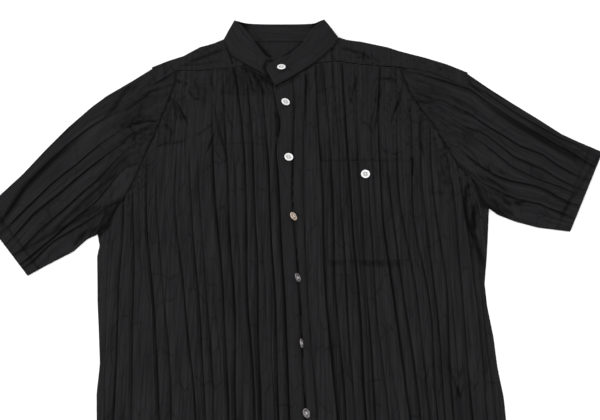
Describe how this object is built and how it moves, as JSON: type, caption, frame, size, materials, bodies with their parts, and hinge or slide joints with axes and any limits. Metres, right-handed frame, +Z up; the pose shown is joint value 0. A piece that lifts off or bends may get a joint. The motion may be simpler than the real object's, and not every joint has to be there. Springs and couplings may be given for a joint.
{
  "type": "band collar shirt",
  "caption": "Pleated short-sleeve band collar shirt with a chest pocket, laid flat with its front up.",
  "frame": {"origin": "middle of the shirt's underside, on the surface it lies on", "axes": "+X towards the wearer's left sleeve, +Y from the hem to the collar, +Z up, the side the buttons face"},
  "size_m": [0.88, 0.7934, 0.0216],
  "materials": {
    "cloth": "matt black pleated polyester with a faint sheen",
    "pearl_button": "pearly white, polished",
    "smoke_button": "smoky shell, polished"
  },
  "bodies": {
    "root": {"back": "cloth", "yoke": "cloth", "front_right": "cloth", "front_left": "cloth", "button_band": "cloth", "buttonhole_band": "cloth", "sleeve_right": "cloth", "sleeve_left": "cloth", "collar_band": "cloth", "pocket": "cloth", "button_1": "pearl_button", "button_2": "pearl_button", "button_3": "pearl_button", "button_4": "smoke_button", "button_5": "smoke_button", "button_6": "smoke_button", "button_7": "smoke_button", "button_8": "smoke_button", "pocket_button": "pearl_button"}
  },
  "joints": []
}
